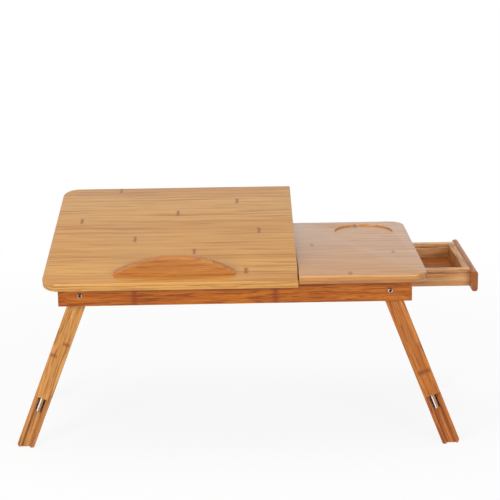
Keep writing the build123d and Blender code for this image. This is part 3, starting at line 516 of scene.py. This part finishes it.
def slot_lining(leg, pivot, down, across, material):
    """Thin veneer that closes the latch slot behind the lever; its dark tone is painted shade in the narrow slot."""
    low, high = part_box(f"{leg}_lower_leg")
    outward = -1 if leg.endswith("front") else 1
    back = high.y if outward < 0 else low.y
    shape = bmesh.new()
    rim = []
    for middle, start in ((SLOT_BOTTOM - SLOT_HALF, -90), (SLOT_TOP + SLOT_HALF, 90)):
        for step in range(ROUND_STEPS + 1):
            turn = radians(start + 180 / ROUND_STEPS * step)
            place = pivot + down * ((middle + SLOT_HALF * cos(turn)) * MM) + across * (SLOT_HALF * sin(turn) * MM)
            rim.append(shape.verts.new((place.x, back, place.z)))
    shape.faces.new(rim)
    raised = bmesh.ops.extrude_face_region(shape, geom=shape.faces[:])["geom"]
    for vert in raised:
        if isinstance(vert, bmesh.types.BMVert):
            vert.co.y += outward * LINING * MM
    bmesh.ops.recalc_face_normals(shape, faces=shape.faces[:])
    keep(f"{leg}_slot_lining", shape, f"{leg}_lower", material)


# the lining's dark brown tone is painted shade, standing for the shade in a narrow deep slot
shade_dark_lining = bamboo("lining_painted_shade", Tone((96, 50, 24), (66, 32, 14), (44, 20, 8), (44, 20, 8)), ALONG_X, (0, 0, 0),
                     61, strip=9.0, ply=2.0, varnish=0.0, roughness=0.6)
for leg in LEG_NAMES:
    formed_latch(leg, *leg_axes(leg))
    slot_lining(leg, *leg_axes(leg), shade_dark_lining)


# ---------------------------------------------------------------- turned fasteners, set out by Geometry Nodes
SIDES = 48
TURNS = [radians(360 / SIDES * side) for side in range(SIDES)]


def round_ring(radius):
    return [radius] * SIDES


def hexagon_ring(radius):
    """Radii of a hexagon, whose corners lie on the given radius."""
    flat, corner = radians(30), radians(60)
    return [radius * cos(flat) / cos(turn % corner - flat) for turn in TURNS]


def cross_ring(radius, arm):
    """Radii of a cross recess with arms of the given half width."""
    return [min(radius, arm / max(min(abs(sin(turn)), abs(cos(turn))), 0.01)) for turn in TURNS]


def turned(name, rings):
    """A closed piece turned about Z from rings of (height, radii) in millimetres. The first two line its recess."""
    shape = bmesh.new()
    lining = shape.faces.layers.int.new("recess")
    loops = [[shape.verts.new((radius * cos(turn) * MM, radius * sin(turn) * MM, height * MM))
              for radius, turn in zip(radii, TURNS)] for height, radii in rings]
    shape.faces.new(loops[0])[lining] = 1
    shape.faces.new(loops[-1][::-1])
    for row, (upper, lower) in enumerate(zip(loops, loops[1:])):
        for i in range(SIDES):
            wall = shape.faces.new((upper[i - 1], upper[i], lower[i], lower[i - 1]))
            wall[lining] = int(row == 0)
    bmesh.ops.recalc_face_normals(shape, faces=shape.faces[:])
    mesh = bpy.data.meshes.new(name)
    shape.to_mesh(mesh)
    shape.free()
    pattern = bpy.data.objects.new(name, mesh)
    bpy.context.scene.collection.objects.link(pattern)
    return pattern


def setting_out_tree():
    """Nodes that put a pattern piece at each point, facing its way, and give it its two materials."""
    tree = bpy.data.node_groups.new("set_out_fasteners", "GeometryNodeTree")
    sockets = {}
    for label, kind in (("Points", "Geometry"), ("Pattern", "Object"), ("Size", "Float"), ("Body Finish", "Material"),
                        ("Recess Finish", "Material")):
        sockets[label] = tree.interface.new_socket(name=label, in_out="INPUT", socket_type=f"NodeSocket{kind}")
    tree.interface.new_socket(name="Fasteners", in_out="OUTPUT", socket_type="NodeSocketGeometry")
    sockets["Size"].default_value = 1.0
    add, link = tree.nodes.new, tree.links.new
    given, made = add("NodeGroupInput"), add("NodeGroupOutput")
    facing = add("GeometryNodeInputNamedAttribute")
    facing.data_type = "FLOAT_VECTOR"
    facing.inputs["Name"].default_value = "facing"
    turn = add("FunctionNodeAlignRotationToVector")
    turn.axis = "Z"
    link(facing.outputs["Attribute"], turn.inputs["Vector"])
    pattern = add("GeometryNodeObjectInfo")
    link(given.outputs["Pattern"], pattern.inputs["Object"])
    copies = add("GeometryNodeInstanceOnPoints")
    link(given.outputs["Points"], copies.inputs["Points"])
    link(pattern.outputs["Geometry"], copies.inputs["Instance"])
    link(turn.outputs["Rotation"], copies.inputs["Rotation"])
    link(given.outputs["Size"], copies.inputs["Scale"])
    real = add("GeometryNodeRealizeInstances")
    link(copies.outputs["Instances"], real.inputs["Geometry"])
    body_finish, recess_finish = add("GeometryNodeSetMaterial"), add("GeometryNodeSetMaterial")
    link(real.outputs["Geometry"], body_finish.inputs["Geometry"])
    link(given.outputs["Body Finish"], body_finish.inputs["Material"])
    recess = add("GeometryNodeInputNamedAttribute")
    recess.data_type = "INT"
    recess.inputs["Name"].default_value = "recess"
    link(recess.outputs["Attribute"], recess_finish.inputs["Selection"])
    link(body_finish.outputs["Geometry"], recess_finish.inputs["Geometry"])
    link(given.outputs["Recess Finish"], recess_finish.inputs["Material"])
    link(recess_finish.outputs["Geometry"], made.inputs["Fasteners"])
    return tree, {label: socket.identifier for label, socket in sockets.items()}


set_out_tree, set_out_inputs = setting_out_tree()


def islands(name):
    """The separate solids of a carried-over piece, each as the places of its corners."""
    shape, seen, found = shape_of(name), set(), []
    for first in shape.verts:
        if first in seen:
            continue
        waiting, solid = [first], []
        while waiting:
            vert = waiting.pop()
            if vert not in seen:
                seen.add(vert)
                solid.append(vert.co.copy())
                waiting += [edge.other_vert(vert) for edge in vert.link_edges]
        found.append(solid)
    shape.free()
    return found


def set_out(name, pattern, towards, finishes, stands_for):
    """Put the pattern where each solid of a carried-over piece stands, its top flush with that one's top."""
    mesh = bpy.data.meshes.new(name)
    places, ways = [], []
    for solid in islands(stands_for):
        way = Vector(towards(solid)).normalized()
        ends = [Vector([pick(corner[i] for corner in solid) for i in range(3)]) for pick in (min, max)]
        middle = (ends[0] + ends[1]) / 2
        top = max(corner.dot(way) for corner in solid)
        places.append(middle + way * (top - middle.dot(way)))
        ways.append(way)
    mesh.from_pydata(places, [], [])
    stored = mesh.attributes.new("facing", "FLOAT_VECTOR", "POINT")
    for item, way in zip(stored.data, ways):
        item.vector = way
    points = bpy.data.objects.new(name, mesh)
    bpy.context.scene.collection.objects.link(points)
    nodes_modifier = points.modifiers.new("set_out", "NODES")
    nodes_modifier.node_group = set_out_tree
    for label, value in (("Pattern", pattern), ("Size", 1.0), ("Body Finish", finishes[0]),
                         ("Recess Finish", finishes[1])):
        nodes_modifier[set_out_inputs[label]] = value
    made = bpy.data.meshes.new_from_object(points.evaluated_get(bpy.context.evaluated_depsgraph_get()))
    points.modifiers.clear()
    points.data = made
    made.name = name
    made.set_sharp_from_angle(angle=SHARP_METAL)
    bpy.data.objects.remove(pattern)
    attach(points, nodes[stands_for]["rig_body"])
    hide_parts(stands_for)


DOMED = [(-1.9, hexagon_ring(2.0)), (-0.35, hexagon_ring(2.1)), (-0.06, round_ring(2.25)), (-0.35, round_ring(2.75)),
         (-0.85, round_ring(3.25)), (-1.4, round_ring(3.55)), (-1.75, round_ring(3.68)), (-2.0, round_ring(3.7)),
         (-2.0, round_ring(3.0)), (-45.3, round_ring(3.0)), (-45.6, round_ring(2.7))]
set_out("leg_bolts_domed", turned("domed_bolt", DOMED), lambda solid: (0, -1 if solid[0].y < 0 else 1, 0),
        (satin_nickel, socket_painted_shade), "leg_bolts")
COUNTERSUNK = [(-0.75, cross_ring(1.0, 0.25)), (-0.02, cross_ring(1.55, 0.38)), (0.0, round_ring(1.9)),
               (0.0, round_ring(2.2)), (-0.12, round_ring(2.38)), (-0.8, round_ring(2.38)), (-0.8, round_ring(1.2)),
               (-9.0, round_ring(1.2)), (-10.0, round_ring(0.4))]
set_out("hinge_frame_screws_cross", turned("countersunk_screw", COUNTERSUNK), lambda solid: (0, 0, 1),
        (zinc, socket_painted_shade), "hinge_frame_screws")
set_out("hinge_panel_screws_cross", turned("countersunk_screw", COUNTERSUNK), lambda solid: -UP_PANEL,
        (zinc, socket_painted_shade), "hinge_panel_screws")


# ---------------------------------------------------------------- camera
CAMERA_PLACE = Vector((-0.00045, -1.87884, 0.73060))
CAMERA_DOWN, CAMERA_RIGHTWARDS, CAMERA_ROLL = radians(14.323), radians(0.3667), radians(-0.877)
PICTURE_WIDTH = 500
FOCAL_PIXELS = 1394.13
PICTURE_MIDDLE = (251.79, 248.18)

sight = Vector((sin(CAMERA_RIGHTWARDS) * cos(CAMERA_DOWN), cos(CAMERA_RIGHTWARDS) * cos(CAMERA_DOWN),
                -sin(CAMERA_DOWN)))
level_right = Vector((cos(CAMERA_RIGHTWARDS), -sin(CAMERA_RIGHTWARDS), 0))
level_up = level_right.cross(sight)
right = level_right * cos(CAMERA_ROLL) + level_up * sin(CAMERA_ROLL)
upward = level_up * cos(CAMERA_ROLL) - level_right * sin(CAMERA_ROLL)
lens = bpy.data.cameras.new("camera")
camera = bpy.data.objects.new("camera", lens)
bpy.context.scene.collection.objects.link(camera)
camera.matrix_world = Matrix.Translation(CAMERA_PLACE) @ Matrix((right, upward, -sight)).transposed().to_4x4()
lens.sensor_width = 36.0
lens.lens = FOCAL_PIXELS / PICTURE_WIDTH * lens.sensor_width
lens.shift_x = (PICTURE_WIDTH / 2 - PICTURE_MIDDLE[0]) / PICTURE_WIDTH
lens.shift_y = (PICTURE_MIDDLE[1] - PICTURE_WIDTH / 2) / PICTURE_WIDTH
bpy.context.scene.camera = camera


# ---------------------------------------------------------------- studio
def lamp(name, place, aim, power, size):
    """A square lamp of so many watts and metres."""
    light = bpy.data.lights.new(name, "AREA")
    light.energy, light.size = power, size
    holder = bpy.data.objects.new(name, light)
    bpy.context.scene.collection.objects.link(holder)
    holder.location = place
    holder.rotation_euler = (Vector(place) - Vector(aim)).to_track_quat("Z", "Y").to_euler()


MIDDLE = (0, 0, 0.15)
lamp("key", (-1.25, -1.75, 0.72), MIDDLE, 28, 0.8)
lamp("fill", (1.1, -2.0, 0.62), MIDDLE, 25, 1.1)
lamp("overhead", (-0.1, -0.2, 2.2), MIDDLE, 19, 1.3)


def seen_directly(finish):
    """1 for rays from the camera, a mirror or a glass, 0 for the light that falls on things."""
    kinds = [finish.node("LightPath", output=f"Is {kind} Ray") for kind in ("Camera", "Glossy", "Transmission")]
    return kinds[0].math("MAXIMUM", kinds[1].math("MAXIMUM", kinds[2]))


WHITE, SEEN_FLOOR, BOUNCING_FLOOR = (1, 1, 1, 1), (0.90, 0.90, 0.90, 1), (0.50, 0.50, 0.50, 1)
# the floor glows most of the way near the stand, and fully from FAR on, in millimetres
NEAR, FAR, NEAR_GLOW = 300.0, 1100.0, 0.88
FLOOR_HALF = 6.0
AMBIENT = 0.30

ground = Finish("pale_floor")
paint = ground.node("BsdfDiffuse", {}, {"Color": BOUNCING_FLOOR})
glow = ground.node("Emission", {}, {"Color": WHITE, "Strength": 1.0})
seen_paint = ground.node("BsdfDiffuse", {}, {"Color": SEEN_FLOOR})
floor_x, floor_y, _ = ground.place()
far_off = (floor_x * floor_x + floor_y * floor_y).math("SQRT")
lit = ground.node("MixShader", {}, [far_off.ramp(NEAR, FAR, NEAR_GLOW, 1.0), seen_paint, glow])
mixed = ground.node("MixShader", {}, [seen_directly(ground), paint, lit])
ground.tree.links.new(mixed.socket, ground.tree.nodes["Material Output"].inputs["Surface"])
floor_mesh = bpy.data.meshes.new("floor")
floor_mesh.from_pydata([(x * FLOOR_HALF, y * FLOOR_HALF, 0) for x, y in ((-1, -1), (1, -1), (1, 1), (-1, 1))], [],
                       [(0, 1, 2, 3)])
floor_mesh.materials.append(ground.material)
floor = bpy.data.objects.new("floor", floor_mesh)
bpy.context.scene.collection.objects.link(floor)


class Sky(Finish):
    """The world's nodes, put together the same way as a material's."""

    def __init__(self):
        world = bpy.data.worlds.new("studio")
        world.use_nodes = True
        bpy.context.scene.world = world
        self.tree = world.node_tree


sky = Sky()
ambient = sky.node("Background", {}, {"Color": WHITE, "Strength": AMBIENT})
white = sky.node("Background", {}, {"Color": WHITE, "Strength": 1.0})
shown = sky.node("MixShader", {}, [seen_directly(sky), ambient, white])
sky.tree.links.new(shown.socket, sky.tree.nodes["World Output"].inputs["Surface"])
bpy.context.scene.view_settings.view_transform = "Standard"
